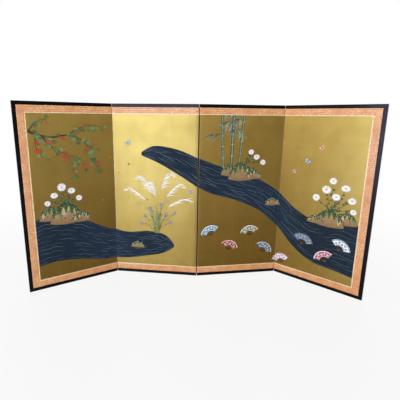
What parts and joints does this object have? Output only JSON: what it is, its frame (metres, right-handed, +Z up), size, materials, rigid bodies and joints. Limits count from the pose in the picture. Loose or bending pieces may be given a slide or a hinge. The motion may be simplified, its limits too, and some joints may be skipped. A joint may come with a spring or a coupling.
{
  "type": "folding screen",
  "caption": "Low folding screen of hinged panels in a lacquered frame, with a brocade border round a gold-leaf picture.",
  "frame": {"origin": "on the floor, under the middle of the standing screen's footprint", "axes": "+Z up, +X along the standing screen to the viewer's right, +Y away from the pictured side"},
  "size_m": [1.6218, 0.2944, 0.9144],
  "materials": {
    "black_lacquer": "glossy black lacquer",
    "brocade": "woven orange brocade",
    "gold_line": "pale gold woven edging",
    "gold_leaf_picture": "painted gold leaf on paper",
    "back_covering": "dark patterned covering cloth",
    "lining_paper": "layered mulberry paper",
    "core_wood": "planed softwood",
    "hinge_cloth": "pasted cloth and paper",
    "nail_steel": "plain drawn wire"
  },
  "bodies": {
    "panel_1": {"panel_1_core_stiles": "core_wood", "panel_1_core_rails": "core_wood", "panel_1_lattice_uprights": "core_wood", "panel_1_lattice_crossbars": "core_wood", "panel_1_front_lining": "lining_paper", "panel_1_back_lining": "lining_paper", "panel_1_picture": "gold_leaf_picture", "panel_1_gold_line": "gold_line", "panel_1_brocade_border": "brocade", "panel_1_back_cloth": "back_covering", "panel_1_top_rail": "black_lacquer", "panel_1_bottom_rail": "black_lacquer", "panel_1_frame_nails": "nail_steel", "panel_1_end_stile": "black_lacquer", "panel_1_valley_hinge_strips": "hinge_cloth"},
    "panel_2": {"panel_2_core_stiles": "core_wood", "panel_2_core_rails": "core_wood", "panel_2_lattice_uprights": "core_wood", "panel_2_lattice_crossbars": "core_wood", "panel_2_front_lining": "lining_paper", "panel_2_back_lining": "lining_paper", "panel_2_picture": "gold_leaf_picture", "panel_2_gold_line": "gold_line", "panel_2_brocade_border": "brocade", "panel_2_back_cloth": "back_covering", "panel_2_top_rail": "black_lacquer", "panel_2_bottom_rail": "black_lacquer", "panel_2_frame_nails": "nail_steel", "panel_2_mountain_hinge_strips": "hinge_cloth", "panel_2_valley_hinge_strips": "hinge_cloth"},
    "panel_3": {"panel_3_core_stiles": "core_wood", "panel_3_core_rails": "core_wood", "panel_3_lattice_uprights": "core_wood", "panel_3_lattice_crossbars": "core_wood", "panel_3_front_lining": "lining_paper", "panel_3_back_lining": "lining_paper", "panel_3_picture": "gold_leaf_picture", "panel_3_gold_line": "gold_line", "panel_3_brocade_border": "brocade", "panel_3_back_cloth": "back_covering", "panel_3_top_rail": "black_lacquer", "panel_3_bottom_rail": "black_lacquer", "panel_3_frame_nails": "nail_steel", "panel_3_mountain_hinge_strips": "hinge_cloth", "panel_3_valley_hinge_strips": "hinge_cloth"},
    "panel_4": {"panel_4_core_stiles": "core_wood", "panel_4_core_rails": "core_wood", "panel_4_lattice_uprights": "core_wood", "panel_4_lattice_crossbars": "core_wood", "panel_4_front_lining": "lining_paper", "panel_4_back_lining": "lining_paper", "panel_4_picture": "gold_leaf_picture", "panel_4_gold_line": "gold_line", "panel_4_brocade_border": "brocade", "panel_4_back_cloth": "back_covering", "panel_4_top_rail": "black_lacquer", "panel_4_bottom_rail": "black_lacquer", "panel_4_frame_nails": "nail_steel", "panel_4_end_stile": "black_lacquer", "panel_4_valley_hinge_strips": "hinge_cloth"}
  },
  "joints": [
    {"name": "fold_12", "type": "hinge", "parent": "panel_2", "child": "panel_1", "pos_m": [-0.42266, 0.11387, 0], "axis": [0, 0, 1], "range_deg": [-36.5, 143.5]},
    {"name": "fold_23", "type": "hinge", "parent": "panel_2", "child": "panel_3", "pos_m": [0.01815, 0.08604, 0], "axis": [0, 0, 1], "range_deg": [-14, 166]},
    {"name": "fold_34", "type": "hinge", "parent": "panel_3", "child": "panel_4", "pos_m": [0.45771, 0.12924, 0], "axis": [0, 0, -1], "range_deg": [-47, 133]}
  ]
}
